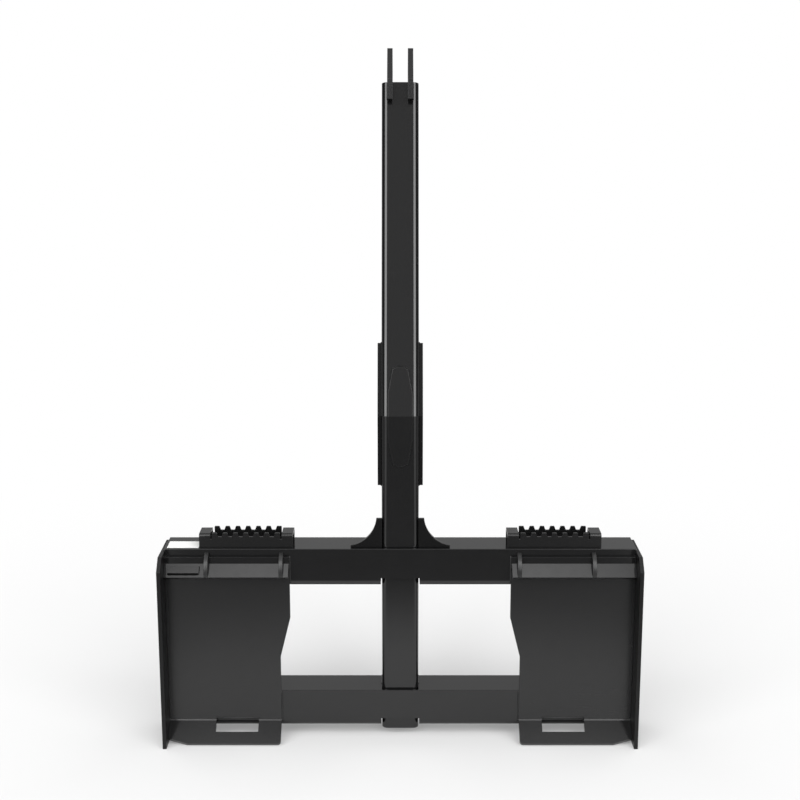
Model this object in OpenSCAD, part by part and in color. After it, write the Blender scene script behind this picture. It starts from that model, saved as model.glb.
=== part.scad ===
// Tree boom for a compact loader: a square-tube mast and leaning boom on a quick-attach frame.
// X runs across the frame, Y points away from the loader, Z is up. Millimetres.
// The origin is on the rear face of the mount plates, mid-width, at floor level.

/* [Plate stock] */
// Thickness of the frame's steel plates
plate_t = 9.5; // [8:0.5:12]
// Clearance where one piece is slid past another before welding
fit_gap = 0.3; // [0.2:0.1:0.8]

/* [Tubes] */
// Outside width of the two cross tubes
cross_w = 93.5; // [89:0.5:102]
// Outside width of the mast and boom tube
mast_w = 89; // [80:1:95]
// Wall thickness of every tube
tube_wall = 6; // [4:0.5:8]
// Outside corner radius of the mast, and of the cross tubes at the bottom
tube_r = 14; // [9:0.5:16]
// Outside corner radius of the cross tubes at the top
cross_top_r = 1.5; // [0.5:0.5:6]
// Height of the upper cross tube's top
upper_top = 485.5; // [478:0.5:495]
// Height of the lower cross tube's top
lower_top = 122; // [115:1:140]

/* [Mount plates] */
// Clear width between the two end plates
guide_gap = 1134; // [1110:1:1150]
// Height of the mount plates' top edge
plate_top = 468; // [460:1:474]
// Distance from the centre to a plate's inner edge, upper part
inner_upper = 266.5; // [240:0.5:280]
// Distance from the centre to a plate's inner edge, lower part
inner_lower = 291.5; // [282:0.5:310]
// Height where the inner edge starts to slant
slant_top = 313; // [280:1:340]
// Height where the inner edge is upright again
slant_bottom = 212; // [170:1:230]
// Height of the fold line between plate and lower flange
fold_z = 50; // [48:0.5:56]
// Slope of the lower flange below the horizontal
flange_angle = 42; // [40:1:45]
// Length of the lower flange along its slope
flange_len = 63.5; // [60:0.5:64]
// Inside radius of the fold
fold_r = 8; // [4:1:12]
// Length of a lock pin slot
slot_len = 104; // [80:1:120]
// Distance between the two slots' centres
slot_pitch = 800; // [780:1:820]
// Upper edge of a slot, measured above the fold line
slot_above = 4; // [0:0.5:6]
// Lower edge of a slot, measured down the flange
slot_below = 32.5; // [26:0.5:36]
// Rounding of the flange's inner corner
corner_round = 8; // [4:1:12]
// Outer corner cut of the flange, across
corner_cut_x = 47; // [20:1:60]
// Outer corner cut of the flange, along the slope
corner_cut_s = 13; // [6:1:20]

/* [Hook bars and ribs] */
// Height where a hook bar's upper face leaves the plate
hook_z = 452.5; // [446:0.5:456]
// Slope of the hook bar away from the upright
hook_angle = 43; // [38:1:48]
// Length of the hook bar's upper face
hook_len = 37; // [30:0.5:42]
// Distance from the centre to a hook bar's inner end
hook_inner = 268; // [267:0.5:276]
// Distance from the centre to the outer rib
rib_outer_x = 465; // [430:1:500]
// Distance from the centre to the inner rib
rib_inner_x = 286; // [280:1:320]
// How far a rib rises above the plate's top edge
rib_rise = 9.5; // [5:0.5:12]
// How far a rib's rear edge bulges beyond its chord
rib_bulge = 14; // [8:0.5:18]

/* [End plates] */
// Height of the end plates' flat top edge
end_top = 479; // [476:0.5:486]
// How far the end plates stand out behind the mount plates
end_back = 62; // [56:0.5:70]
// Cut at the upper rear corner of an end plate
end_chamfer = 29; // [20:1:35]
// Cut at the lower front corner of an end plate
toe_chamfer = 14; // [8:1:20]

/* [Mast and boom] */
// Distance from the cross tubes' rear face to the mast's rear face
mast_inset = 9.5; // [8:0.5:14]
// How far the mast's foot reaches below the lower cross tube
stub_drop = 11; // [8:1:20]
// Clearance behind the mast in the cross tubes' cut-outs
notch_back = 4; // [2:0.5:6]
// Height of the relief along the cross tubes' bottom, where the mast passes
relief_h = 19.5; // [14:0.5:26]
// How far that relief reaches beyond the mast on each side
relief_side = 2.5; // [1:0.5:5]
// Height of the bend on the mast's rear face
bend_z = 810; // [760:1:860]
// Lean of the boom away from the upright
lean = 17.3; // [12:0.1:22]
// Length of the boom along its rear face
boom_len = 808; // [700:0.5:900]
// Thickness of the plate that closes the boom's end
cap_t = 6; // [4:0.5:8]
// Depth of that plate below the boom's end
cap_recess = 3; // [1:0.5:6]

/* [Bend reinforcement] */
// Length of a side plate above the bend
side_up = 177; // [150:1:200]
// Length of a side plate below the bend
side_down = 172; // [150:1:200]
// Length of the rear doubler above the bend
doubler_up = 119; // [100:1:140]
// Length of the rear doubler below the bend
doubler_down = 121; // [100:1:140]
// Width of the rear doubler across the bend
doubler_w = 58; // [50:1:60]
// Width of the rear doubler at its ends
doubler_end_w = 36; // [30:1:45]
// Bow of the doubler's two ends
doubler_bow = 6; // [3:0.5:10]
// Length of the doubler's full-width part on each side of the bend
doubler_mid = 54; // [40:1:70]
// Thickness of the rear doubler
doubler_t = 5; // [4:0.5:8]

/* [Mast gussets] */
// Reach of a gusset along the upper cross tube
gusset_x = 75; // [60:1:90]
// Height of a gusset up the mast
gusset_z = 73; // [60:1:90]
// Blunt height at the gusset's outer tip
gusset_nose = 6.5; // [4:0.5:10]
// Width of the gusset's flat top
gusset_top_w = 13; // [8:0.5:18]
// Radius of the gusset's hollow edge
gusset_arc_r = 73.5; // [65:0.5:110]

/* [Steps] */
// Distance from the centre to a step's middle
step_x = 371.2; // [350:0.5:380]
// Length of a step
step_len = 226; // [222:1:230]
// Outside width of a step's folded channel
step_w = 59; // [50:1:64]
// Height of a step's folded top
step_h = 35; // [30:1:40]
// Sheet thickness of a step
step_t = 5; // [4:0.5:6]
// Inside radius of a step's folds
step_fold_r = 3; // [2:0.5:5]
// Distance from the cross tubes' rear face to a step's rear wall
step_set = 9; // [6:0.5:14]
// Distance between two teeth
tooth_pitch = 25; // [23:0.5:25]
// Teeth in each row
tooth_count = 7; // [5:1:7]
// Height of a tooth
tooth_h = 9.5; // [7:0.5:11]
// Width of a tooth at its tip
tooth_tip = 10; // [8:0.5:11]
// Width of a tooth at its root
tooth_root = 16.5; // [14:0.5:18]
// Extra width of the two end teeth towards the slits
tooth_extra = 2; // [1:0.5:3]
// Rounding of a tooth's tip and root corners
tooth_r = 2; // [1:0.5:2.5]
// How far the tooth tips stand above the folded top
tooth_rise = 2.3; // [1:0.1:4]
// Width of the relief slit beside the toothed part
slit_w = 4; // [3:0.5:5]
// Depth of the relief slit below the folded top
slit_depth = 13.5; // [12:0.5:18]

/* [Boom tip ears] */
// Thickness of an ear
ear_t = 13; // [10:0.5:16]
// Clear gap between the two ears
ear_gap = 37; // [28:1:44]
// Length of an ear below the boom's end
ear_foot = 48.5; // [40:0.5:60]
// How far an ear stands out behind the boom
ear_stand = 25; // [18:0.5:30]
// Lean of the ear's head relative to the boom
ear_lean = 26.6; // [20:0.2:30]
// Rise of the ear's rear corner above the boom's end
ear_rise = 90.5; // [80:0.5:100]
// Width of the ear's head
ear_head_w = 92; // [84:1:96]
// Diameter of the cross hole in the ears
pin_hole_d = 26; // [20:1:32]
// Distance from the ear's end to the hole's centre
pin_edge = 38; // [32:1:44]
// Rounding of the ear's front corner
ear_corner_r = 22; // [12:1:28]

/* [Tag and label] */
// Length of the blank serial tag on the left hook bar
tag_len = 76; // [60:1:90]
// Height of the tag along the hook bar's slope
tag_h = 22; // [16:1:28]
// Thickness of the tag
tag_t = 1.5; // [1:0.1:2.5]
// Distance from the end plate to the tag
tag_inset = 9; // [2:1:20]
// Length of the blank label on the left of the upper cross tube
label_len = 76; // [60:1:80]
// Width of the label
label_w = 50; // [36:1:60]
// Thickness of the label
label_t = 0.4; // [0.3:0.1:0.6]
// Distance from the end plate to the label
label_inset = 5; // [2:1:6]
// Distance from the cross tube's rear face to the label
label_set = 8.5; // [4:0.5:14]

/* [Hidden] */
$fn = 64;
// Overcut of every cutting solid
eps = 1;
black = [0.13, 0.13, 0.14];
soft_black = [0.17, 0.17, 0.18];
// Rear faces, counted from the mount plates' rear face
tube_y = plate_t;
mast_y = tube_y + mast_inset;
step_y = tube_y + step_set;
half_gap = guide_gap / 2;
lower_bottom = lower_top - cross_w;
tube_front = tube_y + cross_w;
mast_foot = lower_bottom - stub_drop;
// Hook bar slope as a direction in the Y-Z plane, and the bar's edge points
hook_dir = [-sin(hook_angle), -cos(hook_angle)];
hook_in = [cos(hook_angle), -sin(hook_angle)];
hook_tip = [0, hook_z] + hook_len * hook_dir;
hook_under = hook_tip + plate_t * hook_in;
// Slack of the mast's rounded corner behind a plate that is flush with its rear face
corner_slack = tube_r - sqrt(pow(tube_r, 2) - pow(max(tube_r - plate_t, 0), 2));
// Toothed part of a step
comb_len = (tooth_count - 1) * tooth_pitch + tooth_tip + 2 * tooth_extra;
ear_len = (step_len - comb_len) / 2 - slit_w;
valley_z = step_h + tooth_rise - tooth_h;

// Points on a circle from angle a0 to a1 in n steps
function arc(c, r, a0, a1, n) =
    [for (i = [0:n]) let (a = a0 + (a1 - a0) * i / n) c + r * [cos(a), sin(a)]];

// Centre of a circle of radius r through p and q, to the left of the way from p to q
function arc_centre(p, q, r) =
    let (m = (p + q) / 2, d = q - p, h = sqrt(r * r - (d * d) / 4))
    m + h * [-d[1], d[0]] / norm(d);

function angle_of(v) = atan2(v[1], v[0]);

// Boom coordinates: s up the rear face from the bend, q out behind it, as a point in the Y-Z plane
function on_boom(s, q) = [mast_y + s * sin(lean) - q * cos(lean), bend_z + s * cos(lean) + q * sin(lean)];

// Centred square with corner radius r at the bottom and top_r at the top
module rounded_square(w, r, top_r) {
    square([w, w - 2 * max(r, top_r)], center = true);
    for (y = [[-1, r], [1, top_r]]) {
        translate([y[1] - w / 2, y[0] < 0 ? -w / 2 : 0])
            square([w - 2 * y[1], w / 2]);
        translate([-w / 2, y[0] < 0 ? y[1] - w / 2 : 0])
            square([w, w / 2 - y[1]]);
        for (x = [-1, 1])
            translate([x * (w / 2 - y[1]), y[0] * (w / 2 - y[1])])
                circle(y[1]);
    }
}

module tube_section(w, top_r) {
    difference() {
        rounded_square(w, tube_r, top_r);
        rounded_square(w - 2 * tube_wall, tube_r - tube_wall, max(top_r - tube_wall, cross_top_r));
    }
}

// A profile drawn in the Y-Z plane, extruded along X from x0 for length len
module along_x(x0, len) {
    translate([x0, 0, 0])
        rotate([90, 0, 90])
            linear_extrude(len)
                children();
}

// A profile drawn in the X-Z plane, extruded along Y from y0 for length len
module along_y(y0, len) {
    translate([0, y0 + len, 0])
        rotate([90, 0, 0])
            linear_extrude(len)
                children();
}

// Moves children from the origin to the bend and leans them like the boom
module lean_at_bend() {
    translate([0, mast_y, bend_z])
        rotate([-lean, 0, 0])
            children();
}

// Everything on the boom's side of the mitre plane at the bend
module above_mitre() {
    translate([0, mast_y, bend_z])
        rotate([-lean / 2, 0, 0])
            translate([-mast_w, -boom_len, 0])
                cube([2 * mast_w, 2 * boom_len, 2 * boom_len]);
}

// Everything on the mast's side of the mitre plane at the bend
module below_mitre() {
    translate([0, mast_y, bend_z])
        rotate([-lean / 2, 0, 0])
            translate([-mast_w, -bend_z, -2 * bend_z])
                cube([2 * mast_w, 2 * bend_z, 2 * bend_z]);
}

module side(is_right) {
    if (is_right)
        mirror([1, 0, 0])
            children();
    else
        children();
}

// Cross tube along X with a cut-out for the mast, open to the front, and a wider relief along its bottom
module cross_tube(top_z) {
    notch_w = mast_w + 2 * fit_gap;
    relief_w = mast_w + 2 * relief_side;
    difference() {
        along_x(-half_gap, guide_gap)
            translate([tube_y + cross_w / 2, top_z - cross_w / 2])
                tube_section(cross_w, cross_top_r);
        translate([-notch_w / 2, mast_y - notch_back, top_z - cross_w - eps])
            cube([notch_w, cross_w, cross_w + 2 * eps]);
        translate([-relief_w / 2, tube_y - eps, top_z - cross_w - eps])
            cube([relief_w, cross_w + 2 * eps, relief_h + eps]);
    }
}

module upper_cross_tube() {
    color(black)
        cross_tube(upper_top);
}

module lower_cross_tube() {
    color(black)
        cross_tube(lower_top);
}

// Upright tube, square at the foot and mitred at the bend
module mast() {
    color(black)
        intersection() {
            translate([0, mast_y + mast_w / 2, mast_foot])
                linear_extrude(bend_z - mast_foot + mast_w)
                    tube_section(mast_w, tube_r);
            below_mitre();
        }
}

// Leaning tube, mitred at the bend and square at the tip
module boom_arm() {
    color(black)
        intersection() {
            lean_at_bend()
                translate([0, mast_w / 2, -mast_w])
                    linear_extrude(boom_len + mast_w)
                        tube_section(mast_w, tube_r);
            above_mitre();
        }
}

// Plate let into the boom's open end
module boom_tip_cap() {
    cap_w = mast_w - 2 * (tube_wall + fit_gap);
    cap_r = tube_r - tube_wall - fit_gap;
    color(soft_black)
        lean_at_bend()
            translate([0, mast_w / 2, boom_len - cap_recess - cap_t])
                linear_extrude(cap_t)
                    rounded_square(cap_w, cap_r, cap_r);
}

// Section of a mount plate: upright face, fold and sloping lower flange
module mount_plate_section() {
    turn = 90 - flange_angle;
    run = fold_r * tan(turn / 2);
    centre = [-fold_r, fold_z + run];
    flange_dir = [-cos(flange_angle), -sin(flange_angle)];
    flange_in = [sin(flange_angle), -cos(flange_angle)];
    edge = [0, fold_z] + flange_len * flange_dir;
    polygon(concat(
        [[plate_t, plate_top], [0, plate_top]],
        arc(centre, fold_r, 0, -turn, 8),
        [edge, edge + plate_t * flange_in],
        arc(centre, fold_r + plate_t, -turn, 0, 8)));
}

// Half plate with its folded flange, slanted inner edge, lock pin slot and cut flange corner
module mount_plate() {
    width = half_gap - inner_upper;
    far = flange_len + plate_t;
    color(black)
        difference() {
            along_x(-half_gap, width)
                mount_plate_section();
            along_y(-far, 2 * far)
                polygon([[-inner_upper, slant_top], [-inner_lower, slant_bottom], [-inner_lower, -eps],
                    [-inner_upper + eps, -eps], [-inner_upper + eps, slant_top]]);
            on_flange()
                translate([-slot_pitch / 2 - slot_len / 2, -slot_above, -far])
                    cube([slot_len, slot_above + slot_below, 2 * far]);
            on_flange()
                translate([-inner_lower, flange_len, -far])
                    linear_extrude(2 * far)
                        difference() {
                            translate([-corner_round, -corner_round])
                                square(corner_round + eps);
                            translate([-corner_round, -corner_round])
                                circle(corner_round);
                        }
            on_flange()
                translate([0, 0, -far])
                    linear_extrude(2 * far)
                        polygon([[-half_gap - eps, flange_len - corner_cut_s],
                            [-half_gap, flange_len - corner_cut_s], [-half_gap + corner_cut_x, flange_len],
                            [-half_gap + corner_cut_x, flange_len + eps], [-half_gap - eps, flange_len + eps]]);
        }
}

// Local frame on the flange's rear face: X across, Y down the slope from the fold line, Z into the flange
module on_flange() {
    translate([0, 0, fold_z])
        rotate([180 + flange_angle, 0, 0])
            children();
}

module mount_plate_left() {
    mount_plate();
}

module mount_plate_right() {
    side(true)
        mount_plate();
}

// Sloping flat bar welded to the plate's rear face, under which the loader's coupler hooks
module hook_bar() {
    color(black)
        along_x(-half_gap, half_gap - hook_inner)
            polygon([[0, hook_z], hook_tip, hook_under,
                [0, hook_under[1] - hook_under[0] * hook_dir[1] / hook_dir[0]]]);
}

module hook_bar_left() {
    hook_bar();
}

module hook_bar_right() {
    side(true)
        hook_bar();
}

// Rib over the hook bar: it sits on the bar, the plate and the cross tube's rear face
module hook_rib(x) {
    high = [tube_y, plate_top + rib_rise];
    half_chord = norm(high - hook_tip) / 2;
    r = (pow(half_chord, 2) + pow(rib_bulge, 2)) / (2 * rib_bulge);
    c = arc_centre(high, hook_tip, r);
    a0 = angle_of(high - c);
    a1 = angle_of(hook_tip - c);
    color(black)
        along_x(-x - plate_t / 2, plate_t)
            polygon(concat(
                arc(c, r, a0, a1 < a0 ? a1 + 360 : a1, 20),
                [[0, hook_z], [0, plate_top], [tube_y, plate_top]]));
}

module hook_rib_left_outer() {
    hook_rib(rib_outer_x);
}

module hook_rib_left_inner() {
    hook_rib(rib_inner_x);
}

module hook_rib_right_outer() {
    side(true)
        hook_rib(rib_outer_x);
}

module hook_rib_right_inner() {
    side(true)
        hook_rib(rib_inner_x);
}

// Plate that closes the cross tubes' ends and guides the loader's coupler from the side
module end_plate() {
    color(black)
        along_x(-half_gap - plate_t, plate_t)
            polygon([[-end_back, 0], [tube_front - toe_chamfer, 0], [tube_front, toe_chamfer],
                [tube_front, end_top], [-end_back + end_chamfer, end_top], [-end_back, end_top - end_chamfer]]);
}

module end_plate_left() {
    end_plate();
}

module end_plate_right() {
    side(true)
        end_plate();
}

// Plate with a hollow edge between the mast's side and the upper cross tube's top
module mast_gusset() {
    root = mast_w / 2 - corner_slack;
    tip = mast_w / 2 + gusset_x;
    top_corner = [-mast_w / 2 - gusset_top_w, upper_top + gusset_z];
    nose_corner = [-tip, upper_top + gusset_nose];
    hollow = arc_centre(nose_corner, top_corner, gusset_arc_r);
    a0 = angle_of(top_corner - hollow);
    a1 = angle_of(nose_corner - hollow);
    color(black)
        along_y(mast_y, plate_t)
            polygon(concat(
                arc(hollow, gusset_arc_r, a0, a1, 20),
                [[-tip, upper_top], [-root, upper_top], [-root, upper_top + gusset_z]]));
}

module mast_gusset_left() {
    mast_gusset();
}

module mast_gusset_right() {
    side(true)
        mast_gusset();
}

// Side plate across the bend, on the flat of the tubes' sides
module bend_side_plate() {
    q0 = -tube_r;
    q1 = tube_r - mast_w;
    color(black)
        along_x(-mast_w / 2 - plate_t, plate_t)
            polygon([[mast_y - q0, bend_z - side_down], [mast_y - q1, bend_z - side_down],
                [mast_y - q1, bend_z + q1 * tan(lean / 2)], on_boom(side_up, q1),
                on_boom(side_up, q0), [mast_y - q0, bend_z + q0 * tan(lean / 2)]]);
}

module bend_side_plate_left() {
    bend_side_plate();
}

module bend_side_plate_right() {
    side(true)
        bend_side_plate();
}

// Six-sided plate with bowed ends, folded over the bend's rear face
module bend_doubler() {
    rise = cos(lean);
    low = bend_z - doubler_down;
    high = bend_z + doubler_up * rise;
    bow_r = (pow(doubler_end_w / 2, 2) + pow(doubler_bow, 2)) / (2 * doubler_bow);
    half = asin(doubler_end_w / 2 / bow_r);
    color(soft_black)
        intersection() {
            along_x(-doubler_w / 2, doubler_w)
                polygon([[mast_y, low - eps], [mast_y, bend_z],
                    on_boom(doubler_up + eps, 0), on_boom(doubler_up + eps, doubler_t),
                    [mast_y - doubler_t, bend_z + doubler_t * tan(lean / 2)], [mast_y - doubler_t, low - eps]]);
            along_y(0, mast_y + doubler_up)
                polygon(concat(
                    arc([0, low + bow_r], bow_r, 270 - half, 270 + half, 12),
                    [[doubler_w / 2, bend_z - doubler_mid], [doubler_w / 2, bend_z + doubler_mid * rise]],
                    arc([0, high - bow_r], bow_r, 90 - half, 90 + half, 12),
                    [[-doubler_w / 2, bend_z + doubler_mid * rise], [-doubler_w / 2, bend_z - doubler_mid]]));
        }
}

// Folded channel section of a step: two walls and a top with rounded folds
module step_section() {
    outer_r = step_fold_r + step_t;
    for (y = [0, step_w - step_t])
        translate([y, 0])
            square([step_t, step_h - outer_r]);
    translate([outer_r, step_h - step_t])
        square([step_w - 2 * outer_r, step_t]);
    for (m = [0, 1])
        translate([m * step_w, 0])
            mirror([m, 0])
                intersection() {
                    translate([outer_r, step_h - outer_r])
                        difference() {
                            circle(outer_r);
                            circle(step_fold_r);
                        }
                    translate([0, step_h - outer_r])
                        square(outer_r);
                }
}

// Half of a tooth, from its root corner up to its tip corner, to the left of the tooth's middle
function tooth_side(mid) =
    let (slope = atan2(tooth_h, (tooth_root - tooth_tip) / 2), k = tooth_r * tan(slope / 2),
        root = [mid - tooth_root / 2, valley_z], tip = [mid - tooth_tip / 2, valley_z + tooth_h])
    concat(arc(root + [-k, tooth_r], tooth_r, -90, slope - 90, 3),
        arc(tip + [k, -tooth_r], tooth_r, 90 + slope, 90, 3));

// Middle of tooth i
function tooth_x(i) = (i - (tooth_count - 1) / 2) * tooth_pitch;

// The same points in reverse order on the other side of the tooth's middle
function mirrored(pts, mid) = [for (i = [len(pts) - 1:-1:0]) [2 * mid - pts[i][0], pts[i][1]]];

// Outline of one wall of a step in the X-Z plane: plain ends, relief slits and a row of teeth
module step_wall() {
    slit_z = step_h - slit_depth;
    left_end = -comb_len / 2;
    end_corner = arc([left_end + tooth_r, valley_z + tooth_h - tooth_r], tooth_r, 180, 90, 3);
    teeth = [for (i = [0:tooth_count - 1])
        each concat(i == 0 ? end_corner : tooth_side(tooth_x(i)),
            i == tooth_count - 1 ? mirrored(end_corner, 0) : mirrored(tooth_side(tooth_x(i)), tooth_x(i)))];
    polygon(concat([[-step_len / 2, 0], [-step_len / 2, slit_z], [left_end, slit_z]], teeth,
        [[-left_end, slit_z], [step_len / 2, slit_z], [step_len / 2, 0]]));
}

// Toothed anti-slip step: folded ears at both ends, both walls cut into teeth between them
module step() {
    color(black)
        translate([-step_x, step_y, upper_top]) {
            for (x = [-step_len / 2, step_len / 2 - ear_len])
                along_x(x, ear_len)
                    step_section();
            for (y = [0, step_w - step_t])
                along_y(y, step_t)
                    step_wall();
        }
}

module step_left() {
    step();
}

module step_right() {
    side(true)
        step();
}

// Ear at the boom's tip: it stands on the tube's rear face and end, and carries the cross pin
module tip_ear() {
    head = lean + ear_lean;
    up = [sin(head), cos(head)];
    forward = [cos(head), -sin(head)];
    knee = on_boom(boom_len, ear_stand);
    top = knee + ear_rise / cos(ear_lean) * up;
    front = top + ear_head_w * forward;
    hole = top + ear_head_w / 2 * forward - pin_edge * up;
    corner = front - ear_corner_r * (up + forward);
    color(black)
        difference() {
            along_x(-ear_gap / 2 - ear_t, ear_t)
                polygon(concat(
                    [on_boom(boom_len - ear_foot, 0), on_boom(boom_len - ear_foot, ear_stand), knee, top],
                    arc(corner, ear_corner_r, 90 - head, -head, 10),
                    [on_boom(boom_len, -mast_w), on_boom(boom_len, 0)]));
            translate([-ear_gap / 2 - ear_t - eps, hole[0], hole[1]])
                rotate([0, 90, 0])
                    cylinder(d = pin_hole_d, h = ear_t + 2 * eps);
        }
}

module tip_ear_left() {
    tip_ear();
}

module tip_ear_right() {
    side(true)
        tip_ear();
}

// Bare plate fixed to the left hook bar's upper face, near its outer end
module serial_tag() {
    color(soft_black)
        translate([-half_gap + tag_inset, 0, hook_z])
            rotate([-90 - hook_angle, 0, 0])
                translate([0, (hook_len - tag_h) / 2, -tag_t])
                    cube([tag_len, tag_h, tag_t]);
}

// Bare label stuck on the upper cross tube's top, outside the left step
module blank_label() {
    color("white")
        translate([-half_gap + label_inset, tube_y + label_set, upper_top])
            cube([label_len, label_w, label_t]);
}

upper_cross_tube();
lower_cross_tube();
mast();
boom_arm();
boom_tip_cap();
mount_plate_left();
mount_plate_right();
hook_bar_left();
hook_bar_right();
end_plate_left();
end_plate_right();
hook_rib_left_outer();
hook_rib_left_inner();
hook_rib_right_outer();
hook_rib_right_inner();
step_left();
step_right();
mast_gusset_left();
mast_gusset_right();
bend_side_plate_left();
bend_side_plate_right();
bend_doubler();
tip_ear_left();
tip_ear_right();
serial_tag();
blank_label();
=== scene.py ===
"""Tree boom on a quick-attach frame: powder coat, weld beads, pale floor and soft studio light."""
import math
import bpy
import numpy as np
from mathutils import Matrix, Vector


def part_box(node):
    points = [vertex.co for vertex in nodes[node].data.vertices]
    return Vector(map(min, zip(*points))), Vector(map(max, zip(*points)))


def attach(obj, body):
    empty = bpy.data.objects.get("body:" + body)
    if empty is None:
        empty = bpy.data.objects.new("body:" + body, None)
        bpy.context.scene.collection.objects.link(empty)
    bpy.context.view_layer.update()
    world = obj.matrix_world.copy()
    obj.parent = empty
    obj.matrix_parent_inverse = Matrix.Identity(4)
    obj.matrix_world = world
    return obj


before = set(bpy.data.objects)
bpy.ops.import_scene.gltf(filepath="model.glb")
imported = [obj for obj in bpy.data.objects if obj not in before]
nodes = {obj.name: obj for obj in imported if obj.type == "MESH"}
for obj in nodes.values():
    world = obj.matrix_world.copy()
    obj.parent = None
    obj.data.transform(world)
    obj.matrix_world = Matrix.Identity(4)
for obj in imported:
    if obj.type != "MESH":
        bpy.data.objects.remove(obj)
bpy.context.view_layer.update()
scene = bpy.context.scene
scene.view_settings.view_transform = "Standard"

# Sizes shared with the part's source, in metres and radians: first the cross tubes and end plates
TUBE_REAR = 0.0095
CROSS_W = 0.0935
TUBE_FRONT = TUBE_REAR + CROSS_W
TUBE_R = 0.014
UPPER_TOP = 0.4855
LOWER_TOP = 0.122
HALF_GAP = 0.567
END_TOP = 0.479
# Mount plates and hook bars
PLATE_TOP = 0.468
PLATE_INNER_UPPER = 0.2665
PLATE_INNER_LOWER = 0.2915
HOOK_Z = 0.4525
HOOK_SLOPE = math.radians(43)
HOOK_INNER = 0.268
# Mast, boom and their reinforcement
MAST_W = 0.089
MAST_REAR = 0.019
BEND_Z = 0.81
LEAN = math.radians(17.3)
BOOM_LEN = 0.808
DOUBLER_UP, DOUBLER_DOWN, DOUBLER_MID = 0.119, 0.121, 0.054
DOUBLER_HALF, DOUBLER_END_HALF, DOUBLER_BOW = 0.029, 0.018, 0.006
SIDE_UP, SIDE_DOWN = 0.177, 0.172
GUSSET_X, GUSSET_Z, GUSSET_FRONT = 0.075, 0.073, 0.0285
# Ears, steps and tag
EAR_IN, EAR_OUT, EAR_FOOT = 0.0185, 0.0315, 0.0485
STEP_X, STEP_FRONT = 0.3712, 0.0775
TAG_MID, TAG_HALF = 0.0185, 0.011

X, Y, Z = np.eye(3)


# ---- shader groups ----

def group(name, ins, outs):
    """Empty node group with named float, colour or vector sockets."""
    g = bpy.data.node_groups.new(name, "ShaderNodeTree")
    kinds = {"f": "NodeSocketFloat", "c": "NodeSocketColor", "v": "NodeSocketVector"}
    for n, k, d in ins:
        s = g.interface.new_socket(n, in_out="INPUT", socket_type=kinds[k])
        s.default_value = d
    for n, k in outs:
        g.interface.new_socket(n, in_out="OUTPUT", socket_type=kinds[k])
    return g, g.nodes.new("NodeGroupInput"), g.nodes.new("NodeGroupOutput")


def noise(tree, vector, scale, detail=2.0, rough=0.5):
    """Noise of 0 to 1 at the given points."""
    n = tree.nodes.new("ShaderNodeTexNoise")
    n.inputs["Scale"].default_value = scale
    n.inputs["Detail"].default_value = detail
    n.inputs["Roughness"].default_value = rough
    tree.links.new(vector, n.inputs["Vector"])
    return n.outputs["Fac"]


def ranged(tree, value, lo, hi, out_lo=0.0, out_hi=1.0):
    """Maps value from lo..hi to out_lo..out_hi, clamped, along a smooth step."""
    n = tree.nodes.new("ShaderNodeMapRange")
    n.interpolation_type = "SMOOTHSTEP"
    for socket, v in (("From Min", lo), ("From Max", hi), ("To Min", out_lo), ("To Max", out_hi)):
        n.inputs[socket].default_value = v
    tree.links.new(value, n.inputs["Value"])
    return n.outputs["Result"]


def math_node(tree, op, a, b=None):
    """One step of arithmetic on links or plain numbers."""
    n = tree.nodes.new("ShaderNodeMath")
    n.operation = op
    for i, v in enumerate((a, b)):
        if v is None:
            continue
        if isinstance(v, (int, float)):
            n.inputs[i].default_value = v
        else:
            tree.links.new(v, n.inputs[i])
    return n.outputs[0]


def blend_colour(tree, fac, a, b):
    """Colour a where fac is 0 and b where it is 1."""
    n = tree.nodes.new("ShaderNodeMix")
    n.data_type = "RGBA"
    tree.links.new(fac, n.inputs[0])
    for i, v in ((6, a), (7, b)):
        if isinstance(v, tuple):
            n.inputs[i].default_value = v
        else:
            tree.links.new(v, n.inputs[i])
    return n.outputs[2]


def orange_peel_group():
    """Height of cured powder coat: broad soft waves a few millimetres long with a fine grain on them."""
    g, gi, go = group("orange_peel", [("Wave", "f", 260.0), ("Grain", "f", 1500.0), ("Grain Share", "f", 0.25)],
                      [("Height", "f")])
    place = g.nodes.new("ShaderNodeTexCoord")
    heights = []
    for socket, detail in (("Wave", 1.0), ("Grain", 2.0)):
        n = g.nodes.new("ShaderNodeTexNoise")
        n.inputs["Detail"].default_value = detail
        g.links.new(place.outputs["Object"], n.inputs["Vector"])
        g.links.new(gi.outputs[socket], n.inputs["Scale"])
        heights.append(n.outputs["Fac"])
    fine = math_node(g, "MULTIPLY", heights[1], gi.outputs["Grain Share"])
    g.links.new(math_node(g, "ADD", heights[0], fine), go.inputs["Height"])
    return g


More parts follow.
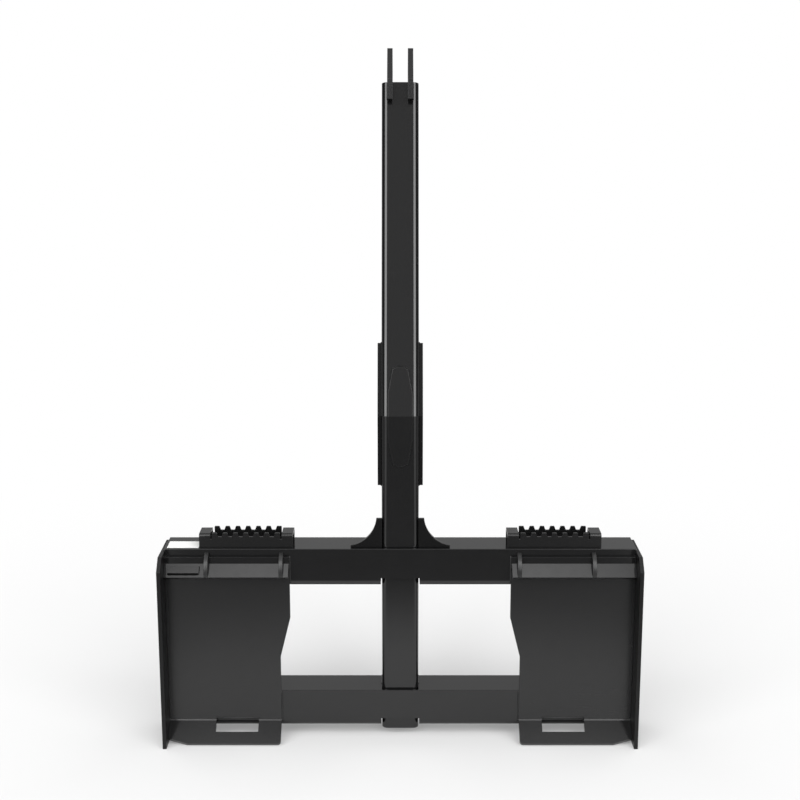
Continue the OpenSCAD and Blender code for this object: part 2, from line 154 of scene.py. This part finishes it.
def coat_variation_group():
    """Colour and roughness of a coat that flows a little thicker here and thinner there, with faint rubbed streaks.

    Flow is the mean of a broad noise, about 200 mm long, and a mottled one of about 20 mm. It blends Thin into Thick
    and swings Roughness by Spread. Streaks are a noise stretched along X, kept only in patches. Where Rub lets them
    show, they blend in Rubbed and make the coat duller.
    """
    broad_scale, mottle_scale, patch_scale = 5.0, 45.0, 3.0
    streak_scale, streak_turn = (9.0, 60.0, 130.0), (0.3, 0.2, 0.1)
    rubbed_dull = 0.3
    g, gi, go = group(
        "coat_variation",
        [("Thin", "c", (0.02, 0.02, 0.02, 1)), ("Thick", "c", (0.012, 0.012, 0.012, 1)),
         ("Rubbed", "c", (0.03, 0.03, 0.03, 1)), ("Roughness", "f", 0.3), ("Spread", "f", 0.06), ("Rub", "f", 0.25)],
        [("Color", "c"), ("Roughness", "f")])
    place = g.nodes.new("ShaderNodeTexCoord").outputs["Object"]
    broad = ranged(g, noise(g, place, broad_scale, 3.0), 0.35, 0.65)
    mottled = ranged(g, noise(g, place, mottle_scale, 3.0), 0.4, 0.7)
    stretch = g.nodes.new("ShaderNodeMapping")
    stretch.inputs["Scale"].default_value = streak_scale
    stretch.inputs["Rotation"].default_value = streak_turn
    g.links.new(place, stretch.inputs["Vector"])
    streak = ranged(g, noise(g, stretch.outputs["Vector"], 1.0, 4.0, 0.6), 0.6, 0.72)
    patch = ranged(g, noise(g, place, patch_scale, 2.0), 0.52, 0.66)
    rub = math_node(g, "MULTIPLY", math_node(g, "MULTIPLY", streak, patch), gi.outputs["Rub"])
    flow = math_node(g, "MULTIPLY", math_node(g, "ADD", broad, mottled), 0.5)
    tone = blend_colour(g, flow, gi.outputs["Thin"], gi.outputs["Thick"])
    g.links.new(blend_colour(g, rub, tone, gi.outputs["Rubbed"]), go.inputs["Color"])
    swing = math_node(g, "MULTIPLY", math_node(g, "SUBTRACT", flow, 0.5), gi.outputs["Spread"])
    rough = math_node(g, "ADD", gi.outputs["Roughness"], swing)
    rough = math_node(g, "ADD", rough, math_node(g, "MULTIPLY", rub, rubbed_dull))
    g.links.new(rough, go.inputs["Roughness"])
    return g


def dry_spray_group():
    """Value of 1 between the heights Low and High in object coordinates, where the coat went on drier, else 0."""
    g, gi, go = group("dry_spray", [("Low", "f", 0.05), ("High", "f", 0.45)], [("Value", "f")])
    place, split = g.nodes.new("ShaderNodeTexCoord"), g.nodes.new("ShaderNodeSeparateXYZ")
    g.links.new(place.outputs["Object"], split.inputs[0])
    above = math_node(g, "GREATER_THAN", split.outputs[2], gi.outputs["Low"])
    below = math_node(g, "LESS_THAN", split.outputs[2], gi.outputs["High"])
    g.links.new(math_node(g, "MULTIPLY", above, below), go.inputs["Value"])
    return g


orange_peel = orange_peel_group()
coat_variation = coat_variation_group()
dry_spray = dry_spray_group()


def use_group(tree, g, **values):
    """Places a shared group in a material. In the values' names an underscore stands for a space."""
    n = tree.nodes.new("ShaderNodeGroup")
    n.node_tree = g
    for key, v in values.items():
        n.inputs[key.replace("_", " ")].default_value = v
    return n


def surface(name):
    """New material with its node tree and its own shader."""
    m = bpy.data.materials.new(name)
    m.use_nodes = True
    return m, m.node_tree, m.node_tree.nodes["Principled BSDF"]


def skin(tree, shader, wave, strength, depth):
    """Orange peel as a bump of the given strength, depth in metres, on the shader's normal."""
    peel = use_group(tree, orange_peel, Wave=wave)
    bump = tree.nodes.new("ShaderNodeBump")
    bump.inputs["Strength"].default_value = strength
    bump.inputs["Distance"].default_value = depth
    tree.links.new(peel.outputs["Height"], bump.inputs["Height"])
    tree.links.new(bump.outputs["Normal"], shader.inputs["Normal"])


def powder_coat(name, tone, roughness, wave=260.0, peel=0.1, spread=0.06, rub=0.25, ior=1.6, dry=None):
    """Black powder coat: a deep base under a smooth skin with orange peel, uneven flow and faint rub marks.

    The base is tone, 15% lighter where the coat is thin, 15% darker where it is thick and 2.2 times as light where it
    is rubbed, a touch bluer all over. Where dry gives two heights and an amount, the coat is rougher by that amount
    between them.
    """
    m, tree, shader = surface(name)
    shader.inputs["IOR"].default_value = ior

    def grey(k):
        """Base colour, k times as light as tone."""
        return tone * k, tone * k, tone * 1.03 * k, 1

    coat = use_group(tree, coat_variation, Thin=grey(1.15), Thick=grey(0.85), Rubbed=grey(2.2),
                     Roughness=roughness, Spread=spread, Rub=rub)
    tree.links.new(coat.outputs["Color"], shader.inputs["Base Color"])
    rough = coat.outputs["Roughness"]
    if dry:
        low, high, amount = dry
        zone = use_group(tree, dry_spray, Low=low, High=high)
        rough = math_node(tree, "ADD", rough, math_node(tree, "MULTIPLY", zone.outputs["Value"], amount))
    tree.links.new(rough, shader.inputs["Roughness"])
    skin(tree, shader, wave, peel, 0.0004)
    return m


def label_film():
    """White vinyl film: faintly mottled, with a finer and flatter skin than the coat around it."""
    m, tree, shader = surface("white_label_film")
    film = use_group(tree, coat_variation, Thin=(0.76, 0.76, 0.75, 1), Thick=(0.8, 0.8, 0.79, 1),
                     Rubbed=(0.7, 0.7, 0.69, 1), Roughness=0.4, Spread=0.05, Rub=0.15)
    tree.links.new(film.outputs["Color"], shader.inputs["Base Color"])
    tree.links.new(film.outputs["Roughness"], shader.inputs["Roughness"])
    skin(tree, shader, 600.0, 0.05, 0.0002)
    return m


# Skins of tubes, of plates and of weld beads. The numbers after each name are the base's tone and the roughness.
EVEN = {"peel": 0.05, "spread": 0.04}
ROLLED = {"wave": 220.0, **EVEN}
SEAM = {"wave": 420.0, "peel": 0.1, "rub": 0.1}
# Between these two heights, the fold and the hook bars, the mount plates' coat went on drier, by the last number
DRY_ON_PLATES = (0.048, 0.43, 0.14)
tube_coat = powder_coat("black_coat_on_tubes", 0.0055, 0.12, **EVEN)
plate_coat = powder_coat("black_coat_on_plates", 0.0055, 0.11, dry=DRY_ON_PLATES, **ROLLED)
hook_coat = powder_coat("black_coat_on_hook_bars", 0.0055, 0.11, **ROLLED)
# Painted shade: a darker, less reflective copy of the same black coat, for the mast gussets and the bend side plates
painted_shade_coat = powder_coat("black_coat_with_painted_shade_on_gussets_and_side_plates", 0.004, 0.13, ior=1.45, **ROLLED)
# Partly painted shade: the darker base and weaker reflection stand for shade on the end plates' inner faces; the
# higher roughness is their own
end_plate_shade_coat = powder_coat("black_coat_with_painted_shade_on_end_plates", 0.004, 0.35, ior=1.37, **ROLLED)
rib_coat = powder_coat("black_coat_on_ribs", 0.0065, 0.38, wave=300.0, **EVEN)
step_coat = powder_coat("black_coat_on_steps", 0.0055, 0.18, wave=340.0, peel=0.08, rub=0.4)
small_coat = powder_coat("black_coat_on_small_parts", 0.0065, 0.18, wave=300.0, peel=0.08)
bead_coat = powder_coat("black_coat_on_weld_beads", 0.0065, 0.22, **SEAM)
# Partly painted shade: real weld beads, but darker and duller than the other beads, so that they read as shaded lines
# beside the doubler, side plates and ears
shade_line_bead_coat = powder_coat("dull_black_coat_with_painted_shade_on_weld_beads", 0.004, 0.5, ior=1.35, **SEAM)
# Painted shadow: a near-black, dull coat for the strips at the serial tag
painted_shadow_coat = powder_coat("painted_tag_shadow_material", 0.002, 0.8, ior=1.15, **SEAM)
white_film = label_film()

# ---- the source's solids: finish, softened edges, clean shading ----

# Material and edge rounding in millimetres, by the start of a node's name. The first that fits counts.
FINISH = {
    "upper_cross_tube": (tube_coat, 0.3), "lower_cross_tube": (tube_coat, 0.3),
    "mast_gusset": (painted_shade_coat, 0.8), "mast": (tube_coat, 0.6),
    "boom_arm": (tube_coat, 0.6), "boom_tip_cap": (small_coat, 0.5),
    "bend_doubler": (tube_coat, 0.7), "bend_side_plate": (painted_shade_coat, 0.8),
    "mount_plate": (plate_coat, 0.8), "end_plate": (end_plate_shade_coat, 0.8),
    "hook_bar": (hook_coat, 0.8), "hook_rib": (rib_coat, 0.8),
    "step": (step_coat, 0.5), "tip_ear": (small_coat, 0.4),
    "serial_tag": (small_coat, 0.3), "blank_label": (white_film, 0.1),
}
# Smallest fold, in degrees, that counts as an edge. The steps' bends are rounded in the source, in coarser facets.
PLATE_EDGE, STEP_EDGE = 13, 30


def finish_of(name):
    """Finish of the first kind that the node's name starts with."""
    return next(finish for kind, finish in FINISH.items() if name.startswith(kind))


def soften(obj, width, fold):
    """Merges the solid's loose triangles, joins its flat faces, rounds every edge that folds by more than fold
    degrees, by width millimetres, and evens the normals."""
    obj.data.polygons.foreach_set("use_smooth", np.ones(len(obj.data.polygons), dtype=bool))
    weld = obj.modifiers.new("weld", "WELD")
    weld.merge_threshold = 1e-5
    flat = obj.modifiers.new("flat", "DECIMATE")
    flat.decimate_type = "DISSOLVE"
    flat.angle_limit = math.radians(0.7)
    edge = obj.modifiers.new("edge", "BEVEL")
    edge.width = width / 1000
    edge.segments = 2
    edge.limit_method = "ANGLE"
    edge.angle_limit = math.radians(fold)
    even = obj.modifiers.new("even", "WEIGHTED_NORMAL")
    even.keep_sharp = True
    even.weight = 80


for name, obj in nodes.items():
    coat, rounding = finish_of(name)
    obj.data.materials.clear()
    obj.data.materials.append(coat)
    soften(obj, rounding, STEP_EDGE if name.startswith("step") else PLATE_EDGE)


# ---- weld beads ----

# Leg of a usual bead, gap between two stations along it, depth of its toes in the faces, and its share of bulge
BEAD_LEG, STATION_GAP, SINK, BULGE = 0.004, 0.0009, 0.0002, 0.22
# Pitch of the ripples, their share of the leg, and how far the crescents lag at the middle, in pitches
RIPPLE_PITCH, RIPPLE_DEPTH, RIPPLE_LAG = 0.0031, 0.035, 0.45
# Short beads on a step, counted from its middle, and half the length of one
STITCHES, STITCH_HALF = (-0.095, 0.0, 0.095), 0.018


def stations(points, normals, step):
    """Even stations along a polyline: arc length, points and face directions, interpolated over the arc length."""
    points, normals = np.asarray(points, float), np.asarray(normals, float)
    length = np.concatenate([[0], np.cumsum(np.linalg.norm(np.diff(points, axis=0), axis=1))])
    s = np.linspace(0, length[-1], max(int(length[-1] / step), 8) + 1)
    p = np.stack([np.interp(s, length, points[:, i]) for i in range(3)], axis=1)
    a = np.stack([np.interp(s, length, normals[:, i]) for i in range(3)], axis=1)
    return s, p, a / np.linalg.norm(a, axis=1, keepdims=True)


def bead(points, side_a, side_b, leg=BEAD_LEG):
    """Fillet weld in the corner between two faces: vertices, quads and the two end faces.

    At each station a and b are the unit directions that lie in the two faces and lead away from the corner. Across
    the bead, u from 0 to 1, a point is leg * ((1 - u) a + u b) plus a bulge of leg * BULGE * 4u(1 - u) along a + b.
    Along the bead, s in metres, leg is scaled by 1 + 0.05 sin(310 s) + 0.03 sin(125 s), the welder's hand, by
    1 + RIPPLE_DEPTH cos(2 pi (s / RIPPLE_PITCH - RIPPLE_LAG * 4u(1 - u))), the crescent ripples, and by
    sqrt(1 - (1 - d / leg)^2) within one leg of an end, d being the way to that end. The ring closes through a point
    behind the corner, and both toes lie SINK inside their faces.
    """
    points = np.asarray(points, float)
    side_a = np.broadcast_to(side_a, points.shape)
    side_b = np.broadcast_to(side_b, points.shape)
    s, p, a = stations(points, side_a, STATION_GAP)
    b = stations(points, side_b, STATION_GAP)[2]
    u = np.linspace(0, 1, 7)
    arch = 4 * u * (1 - u)
    hand = 1 + 0.05 * np.sin(s * 310 + points[0].sum() * 40) + 0.03 * np.sin(s * 125 + 1)
    to_end = np.clip(np.minimum(s, s[-1] - s) / leg, 0, 1)
    size = leg * hand * np.sqrt(np.clip(1 - (1 - to_end) ** 2, 0.02, 1))
    ripple = 1 + RIPPLE_DEPTH * np.cos(2 * np.pi * (s[:, None] / RIPPLE_PITCH - RIPPLE_LAG * arch[None, :]))
    out = (a + b) / np.linalg.norm(a + b, axis=1, keepdims=True)
    across = (1 - u)[None, :, None] * a[:, None] + u[None, :, None] * b[:, None]
    ring = p[:, None] + (size[:, None] * ripple)[..., None] * (across + BULGE * arch[None, :, None] * out[:, None])
    ring = ring - SINK * (u[None, :, None] * a[:, None] + (1 - u)[None, :, None] * b[:, None])
    back = p - 1.5 * SINK * out
    ring = np.concatenate([ring, back[:, None]], axis=1)
    n, k = ring.shape[:2]
    i, j = np.meshgrid(np.arange(n - 1), np.arange(k), indexing="ij")
    j2 = (j + 1) % k
    quads = np.stack([i * k + j, (i + 1) * k + j, (i + 1) * k + j2, i * k + j2], axis=-1).reshape(-1, 4)
    ends = np.stack([np.arange(k)[::-1], (n - 1) * k + np.arange(k)])
    verts = ring.reshape(-1, 3)
    return (verts, quads, ends) if signed_volume(verts, quads) > 0 else (verts, quads[:, ::-1], ends[:, ::-1])


def signed_volume(verts, quads):
    """Six times the volume between the quads and the middle of their vertices, negative if they face inwards."""
    tris = np.concatenate([quads[:, [0, 1, 2]], quads[:, [0, 2, 3]]])
    corner = verts[tris] - verts.mean(axis=0)
    return np.einsum("ij,ij->i", corner[:, 0], np.cross(corner[:, 1], corner[:, 2])).sum()


def bead_object(name, beads, coat):
    """One mesh of several beads, coated like the metal that it joins."""
    first = np.cumsum([0] + [len(verts) for verts, _, _ in beads[:-1]])
    verts = np.concatenate([verts for verts, _, _ in beads])
    quads = np.concatenate([quads + start for (_, quads, _), start in zip(beads, first)])
    ends = np.concatenate([ends + start for (_, _, ends), start in zip(beads, first)])
    mesh = bpy.data.meshes.new(name)
    mesh.from_pydata(verts.tolist(), [], quads.tolist() + ends.tolist())
    mesh.validate()
    mesh.polygons.foreach_set("use_smooth", np.ones(len(mesh.polygons), dtype=bool))
    obj = bpy.data.objects.new(name, mesh)
    scene.collection.objects.link(obj)
    mesh.materials.append(coat)
    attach(obj, "root")


def along(start, end, a, b, leg=BEAD_LEG):
    """Straight bead from start to end between the faces that lead off along a and b."""
    return bead([start, end], a, b, leg)


def outline_bead(outline, leg):
    """Bead beside a line on the mast and boom's rear face: outline holds points (x, s) as rear_face takes them, and
    the bead lies on the right of the way that they count in."""
    outline = np.asarray(outline, float)
    way = np.gradient(outline, axis=0)
    side = np.stack([way[:, 1], -way[:, 0]], axis=1)
    side /= np.linalg.norm(side, axis=1, keepdims=True)
    point, along_x, along_s, normal = rear_face(outline[:, 0], outline[:, 1])
    return bead(point, side[:, :1] * along_x + side[:, 1:] * along_s, normal, leg)


def dense(points, step=0.002):
    """Polyline with points added so that no leg is longer than step."""
    points = np.asarray(points, float)
    s = np.concatenate([[0], np.cumsum(np.linalg.norm(np.diff(points, axis=0), axis=1))])
    t = np.unique(np.concatenate([s, np.arange(0, s[-1], step)]))
    return np.stack([np.interp(t, s, points[:, i]) for i in range(2)], axis=1)


def rear_face(x, s):
    """Point, direction of x, direction of s and normal on the mast and boom's rear face unrolled: s is measured from
    the bend, up the boom where it is positive."""
    up = (s > 0)[:, None]
    lean_s = math.sin(LEAN) * Y + math.cos(LEAN) * Z
    along_s = np.where(up, lean_s, Z)
    normal = np.where(up, math.sin(LEAN) * Z - math.cos(LEAN) * Y, -Y)
    point = np.array([0, MAST_REAR, BEND_Z]) + x[:, None] * X + s[:, None] * along_s
    return point, np.broadcast_to(X, point.shape), along_s, normal


def bow(end_s, sign):
    """Bowed end of the doubler from its left to its right corner: a circle through both corners and the middle."""
    r = (DOUBLER_END_HALF ** 2 + DOUBLER_BOW ** 2) / (2 * DOUBLER_BOW)
    x = np.linspace(-DOUBLER_END_HALF, DOUBLER_END_HALF, 15)
    return np.stack([x, end_s - sign * (r - np.sqrt(r * r - x * x))], axis=1)


def doubler_bead():
    """Bead round the doubler, from its lower left corner and back to it."""
    low = bow(-DOUBLER_DOWN, -1)
    high = bow(DOUBLER_UP, 1)[::-1]
    ring = np.concatenate([low, [[DOUBLER_HALF, -DOUBLER_MID], [DOUBLER_HALF, DOUBLER_MID]],
                           high, [[-DOUBLER_HALF, DOUBLER_MID], [-DOUBLER_HALF, -DOUBLER_MID]], low[:1]])
    return outline_bead(dense(ring), 0.0028)


def ear_beads(sign):
    """Beads along an ear's two sides on the boom's rear face."""
    foot, end = BOOM_LEN - EAR_FOOT + 0.003, BOOM_LEN - 0.002
    inner = [[sign * EAR_IN, foot], [sign * EAR_IN, end]][::-sign]
    outer = [[sign * EAR_OUT, foot], [sign * EAR_OUT, end]][::sign]
    return [outline_bead(path, 0.0014) for path in (inner, outer)]


def side_plate_bead(sign):
    """Bead along the lower, front and upper edges of a bend side plate, on the tubes' side. Its toe on the tube leans
    a little inwards, so that it stays in the metal."""
    rear, front = TUBE_R, MAST_W - TUBE_R

    def corner(s, depth):
        """Point (y, z) at s along the rear face and depth in front of it."""
        if s > 0:
            return [MAST_REAR + s * math.sin(LEAN) + depth * math.cos(LEAN),
                    BEND_Z + s * math.cos(LEAN) - depth * math.sin(LEAN)]
        if s < 0:
            return [MAST_REAR + depth, BEND_Z + s]
        return [MAST_REAR + depth, BEND_Z - depth * math.tan(LEAN / 2)]

    ring = dense([corner(-SIDE_DOWN, rear), corner(-SIDE_DOWN, front), corner(0, front), corner(SIDE_UP, front),
                  corner(SIDE_UP, rear)])
    way = np.gradient(ring, axis=0)
    out = np.stack([way[:, 1], -way[:, 0]], axis=1)
    out /= np.linalg.norm(out, axis=1, keepdims=True)
    points = np.column_stack([np.full(len(ring), sign * MAST_W / 2), ring])
    a = out[:, :1] * Y + out[:, 1:] * Z - 0.15 * sign * X
    return bead(points, a, sign * X, 0.0032)


def mast_seams(side):
    """Beads at the mast's foot on one side: the gusset's front along the tube and up the mast, then the cut-outs in
    both cross tubes, in front and on top."""
    out = side * X
    mast_x, tip_x = side * MAST_W / 2, side * (MAST_W / 2 + GUSSET_X - 0.004)
    foot = (mast_x, GUSSET_FRONT, UPPER_TOP)
    beads = [along((tip_x, GUSSET_FRONT, UPPER_TOP), foot, Y, Z),
             along(foot, (mast_x, GUSSET_FRONT, UPPER_TOP + GUSSET_Z - 0.003), Y - 0.1 * out, out)]
    for top in (UPPER_TOP, LOWER_TOP):
        low = top - CROSS_W + 0.021
        beads.append(along((mast_x, TUBE_FRONT, top - 0.002), (mast_x, TUBE_FRONT, low), out, Y, 0.0035))
    return beads + [
        along((mast_x, MAST_REAR + TUBE_R, UPPER_TOP), (mast_x, TUBE_FRONT, UPPER_TOP), out, Z),
        along((mast_x, MAST_REAR + 0.03, LOWER_TOP), (mast_x, TUBE_FRONT, LOWER_TOP), out, Z, 0.003)]


def mount_plate_seams(side):
    """Beads of one mount plate: inner edge on both tubes, front on the lower tube, and the hook bar's inner end."""
    out = side * X
    upper_x, lower_x, end_x = side * PLATE_INNER_UPPER, side * PLATE_INNER_LOWER, side * HALF_GAP
    upper_low, lower_low = UPPER_TOP - CROSS_W + TUBE_R, LOWER_TOP - CROSS_W + TUBE_R
    return [
        along((upper_x, TUBE_REAR, upper_low), (upper_x, TUBE_REAR, PLATE_TOP), -out, -Y, 0.003),
        along((lower_x, TUBE_REAR, lower_low), (lower_x, TUBE_REAR, LOWER_TOP - 0.001), -out, -Y, 0.003),
        along((lower_x, TUBE_REAR, LOWER_TOP), (end_x, TUBE_REAR, LOWER_TOP), Y, Z),
        along((side * HOOK_INNER, 0, HOOK_Z - 0.001), (side * HOOK_INNER, 0, HOOK_Z - 0.012), -out, -Y, 0.0015)]


def end_plate_seams(side):
    """Beads of one end plate: its top edge, both tubes, and the mount plate's front corner."""
    out = side * X
    end_x = side * HALF_GAP
    upper_under, lower_under = UPPER_TOP - CROSS_W, LOWER_TOP - CROSS_W
    flat_rear, flat_front = TUBE_REAR + TUBE_R, TUBE_FRONT - TUBE_R
    return [
        along((end_x, TUBE_REAR + 0.002, END_TOP), (end_x, TUBE_FRONT - 0.002, END_TOP), Z, out, 0.0035),
        along((end_x, flat_rear, upper_under), (end_x, flat_front, upper_under), -Z, -out),
        along((end_x, TUBE_REAR, LOWER_TOP), (end_x, TUBE_FRONT - 0.001, LOWER_TOP), Z, -out),
        along((end_x, flat_rear, lower_under), (end_x, flat_front, lower_under), -Z, -out),
        along((end_x, TUBE_REAR, LOWER_TOP), (end_x, TUBE_REAR, upper_under), Y, -out)]


def step_stitches(side):
    """Three short beads along a step's front wall."""
    middles = [side * STEP_X + m for m in STITCHES]
    return [along((x - STITCH_HALF, STEP_FRONT, UPPER_TOP), (x + STITCH_HALF, STEP_FRONT, UPPER_TOP), Y, Z, 0.0035)
            for x in middles]


def tag_shadow_strips():
    """Painted shadow at the serial tag: near-black strips along its lower edge and right end, on the hook bar's upper
    face, where the tag's shade falls.
    """
    down = np.array([0, -math.sin(HOOK_SLOPE), -math.cos(HOOK_SLOPE)])
    away = np.array([0, -math.cos(HOOK_SLOPE), math.sin(HOOK_SLOPE)])
    middle = np.array([0, 0, HOOK_Z]) + TAG_MID * down
    low, high = middle + TAG_HALF * down, middle - TAG_HALF * down
    left, right = (corner[0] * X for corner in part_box("serial_tag"))
    seam = low - 0.0022 * down
    return [along(left + seam, right + seam, down, away), along(right + low, right + high, X, away, 0.0015)]


frame_seams = [seam for side in (-1, 1)
               for kind in (mast_seams, mount_plate_seams, end_plate_seams, step_stitches) for seam in kind(side)]
# Painted shadow: dark strips along the serial tag's lower edge and right end
bead_object("painted_shadow_at_serial_tag", tag_shadow_strips(), painted_shadow_coat)
# These beads and the ears' beads carry the darker coat that paints shade lines
bead_object("weld_beads_on_mast", [doubler_bead(), side_plate_bead(-1), side_plate_bead(1)], shade_line_bead_coat)
bead_object("weld_beads_on_tip", ear_beads(-1) + ear_beads(1), shade_line_bead_coat)
bead_object("weld_beads_on_frame", frame_seams, bead_coat)


# ---- floor ----

# Half size of the sheet. Distances are counted from the middle in metres, and angles round it in radians.
FLOOR_HALF = 100.0
# For bounced light the paper is painted with light: bright up to the first distance and dim past the second, a
# painted pool of studio light. Along X it counts half.
BRIGHT_TO, DIM_FROM = 0.42, 1.2
# Beside the object, past this x, a painted lane of light stays bright. It rises and falls at these angles, counted
# from -Y.
LANE_X, LANE_IN, LANE_OUT, LANE_LEVEL, LANE_REST = 0.66, (0.05, 0.2), (0.7, 0.9), 0.9, 0.1
# Past these angles the paper is painted bright again, on the far side of the object
BEHIND, BEHIND_LEVEL = (2.1, 2.7), 0.75
# For the eye, this share of the paper is plain white at the first distance, and all of it at the second
WHITE_FROM, WHITE_AT, WHITE_SHARE = 0.7, 2.6, 0.2
# Paper colours: painted lit and painted unlit paper for bounced light, and the paper that the eye sees
PAINTED_UNLIT_PAPER, PAINTED_LIT_PAPER, SEEN_PAPER = (0.12, 0.12, 0.12, 1), (0.56, 0.56, 0.56, 1), (0.66, 0.66, 0.66, 1)
# Share of plain white that the painted light on the paper glows with in reflections, a painted reflection
PAINTED_GLOW_SHARE = 0.1


def distance(tree, vector):
    """Length of a vector."""
    n = tree.nodes.new("ShaderNodeVectorMath")
    n.operation = "LENGTH"
    tree.links.new(vector, n.inputs[0])
    return n.outputs["Value"]


def painted_floor_light(tree, place):
    """Mask of the painted light on the floor: 1 where the paper is painted bright for bounced light, near the object,
    in the lane and behind, and 0 elsewhere.
    """
    squeeze = tree.nodes.new("ShaderNodeMapping")
    squeeze.inputs["Scale"].default_value = (0.5, 1.0, 1.0)
    tree.links.new(place, squeeze.inputs["Vector"])
    near = ranged(tree, distance(tree, squeeze.outputs["Vector"]), BRIGHT_TO, DIM_FROM, 1.0, 0.0)
    spot = tree.nodes.new("ShaderNodeSeparateXYZ")
    tree.links.new(place, spot.inputs[0])
    aside = math_node(tree, "SUBTRACT", math_node(tree, "ABSOLUTE", spot.outputs[0]), LANE_X)
    aside = math_node(tree, "MAXIMUM", aside, 0.0)
    turn = math_node(tree, "ARCTAN2", aside, math_node(tree, "MULTIPLY", spot.outputs[1], -1.0))
    rise, fall = ranged(tree, turn, *LANE_IN, 0.0, LANE_LEVEL), ranged(tree, turn, *LANE_OUT, 1.0, LANE_REST)
    lane = math_node(tree, "MULTIPLY", rise, fall)
    behind = ranged(tree, turn, *BEHIND, 0.0, BEHIND_LEVEL)
    return math_node(tree, "MAXIMUM", math_node(tree, "MAXIMUM", near, lane), behind)


def white_paper():
    """Paper that the eye sees mostly as plain white and the object still shades. For all light that isn't seen
    directly its colour is painted light, bright or dim as painted_floor_light gives, and a small share of it glows in
    mirrors and glass as a painted reflection."""
    m = bpy.data.materials.new("white_paper_floor")
    m.use_nodes = True
    tree = m.node_tree
    tree.nodes.clear()
    out = tree.nodes.new("ShaderNodeOutputMaterial")
    place = tree.nodes.new("ShaderNodeTexCoord").outputs["Object"]
    bright = painted_floor_light(tree, place)
    path = tree.nodes.new("ShaderNodeLightPath")
    paper = tree.nodes.new("ShaderNodeBsdfDiffuse")
    # Painted light: the paper's colour for bounced light follows the painted pool of light
    bounced = blend_colour(tree, bright, PAINTED_UNLIT_PAPER, PAINTED_LIT_PAPER)
    tree.links.new(blend_colour(tree, path.outputs["Is Camera Ray"], bounced, SEEN_PAPER), paper.inputs["Color"])
    glow = tree.nodes.new("ShaderNodeEmission")
    glow.inputs["Color"].default_value = (1, 1, 1, 1)
    # Painted reflection: white glow that only glossy and transmission rays see
    mirrored = math_node(tree, "MAXIMUM", path.outputs["Is Glossy Ray"], path.outputs["Is Transmission Ray"])
    mirrored = math_node(tree, "MULTIPLY", mirrored, math_node(tree, "MULTIPLY", bright, PAINTED_GLOW_SHARE))
    eye = ranged(tree, distance(tree, place), WHITE_FROM, WHITE_AT, WHITE_SHARE, 1.0)
    eye = math_node(tree, "MULTIPLY", eye, path.outputs["Is Camera Ray"])
    mix = tree.nodes.new("ShaderNodeMixShader")
    tree.links.new(math_node(tree, "MAXIMUM", eye, mirrored), mix.inputs[0])
    tree.links.new(paper.outputs[0], mix.inputs[1])
    tree.links.new(glow.outputs[0], mix.inputs[2])
    tree.links.new(mix.outputs[0], out.inputs["Surface"])
    return m


def lay_floor():
    """Wide flat sheet of paper at floor level."""
    half = FLOOR_HALF
    mesh = bpy.data.meshes.new("floor")
    mesh.from_pydata([(-half, -half, 0), (half, -half, 0), (half, half, 0), (-half, half, 0)], [], [(0, 1, 2, 3)])
    mesh.materials.append(white_paper())
    obj = bpy.data.objects.new("floor", mesh)
    scene.collection.objects.link(obj)


lay_floor()


# ---- studio light ----

# Each light's level and its edges: an angle, the degrees where the edge starts, and those where it is done. A light
# comes on where they count up and ends where they count down. The turn is counted from -Y to either side, the rise
# from the horizon.
LIGHTS = {
    "side softboxes": (4.5, ("turn", 11, 15), ("turn", 64, 54), ("rise", 3, 9), ("rise", 62, 48)),
    "wings above and beyond them": (1.85, ("turn", 62, 74), ("turn", 156, 140), ("rise", 32, 42), ("rise", 78, 68)),
    "band above the camera": (2.0, ("turn", 34, 14), ("rise", 40, 48), ("rise", 71, 66)),
    "ceiling": (0.5, ("rise", 66, 76)),
    "backdrop": (0.36, ("turn", 120, 150), ("rise", 66, 50)),
    "room behind the camera": (0.33, ("turn", 18, 12), ("rise", 4, 18), ("rise", 48, 40)),
}
EVERYWHERE = 0.06


def light_studio():
    """A studio as a function of direction: the sum of the lights, each its level times the smooth steps at its
    edges. What the eye sees of it is white."""
    world = bpy.data.worlds.new("studio")
    scene.world = world
    world.use_nodes = True
    tree = world.node_tree
    tree.nodes.clear()
    out = tree.nodes.new("ShaderNodeOutputWorld")
    room = tree.nodes.new("ShaderNodeBackground")
    room.inputs["Color"].default_value = (1, 1, 1, 1)
    place = tree.nodes.new("ShaderNodeTexCoord")
    split = tree.nodes.new("ShaderNodeSeparateXYZ")
    tree.links.new(place.outputs["Generated"], split.inputs[0])
    x, y, z = split.outputs
    turn = math_node(tree, "ARCTAN2", math_node(tree, "ABSOLUTE", x), math_node(tree, "MULTIPLY", y, -1.0))
    rise = math_node(tree, "ARCSINE", z)
    angle = {"turn": math_node(tree, "MULTIPLY", turn, math.degrees(1)),
             "rise": math_node(tree, "MULTIPLY", rise, math.degrees(1))}
    total = EVERYWHERE
    for level, *edges in LIGHTS.values():
        light = None
        for kind, start, done in edges:
            before, after = (0.0, 1.0) if done > start else (1.0, 0.0)
            step = ranged(tree, angle[kind], min(start, done), max(start, done), before, after)
            light = step if light is None else math_node(tree, "MULTIPLY", light, step)
        total = math_node(tree, "ADD", math_node(tree, "MULTIPLY", light, level), total)
    path = tree.nodes.new("ShaderNodeLightPath")
    seen = tree.nodes.new("ShaderNodeMix")
    seen.data_type = "FLOAT"
    tree.links.new(path.outputs["Is Camera Ray"], seen.inputs[0])
    tree.links.new(total, seen.inputs[2])
    seen.inputs[3].default_value = 1.0
    tree.links.new(seen.outputs[0], room.inputs["Strength"])
    tree.links.new(room.outputs[0], out.inputs["Surface"])


light_studio()


# ---- camera, fitted to the edges in the photo ----

lens = bpy.data.cameras.new("camera")
lens.sensor_width = 36
lens.lens = 64.66
lens.shift_x = -0.0003
camera = bpy.data.objects.new("camera", lens)
camera.location = (0, -3.2851, 1.5770)
camera.rotation_euler = (math.radians(77.592), 0, 0)
scene.collection.objects.link(camera)
scene.camera = camera
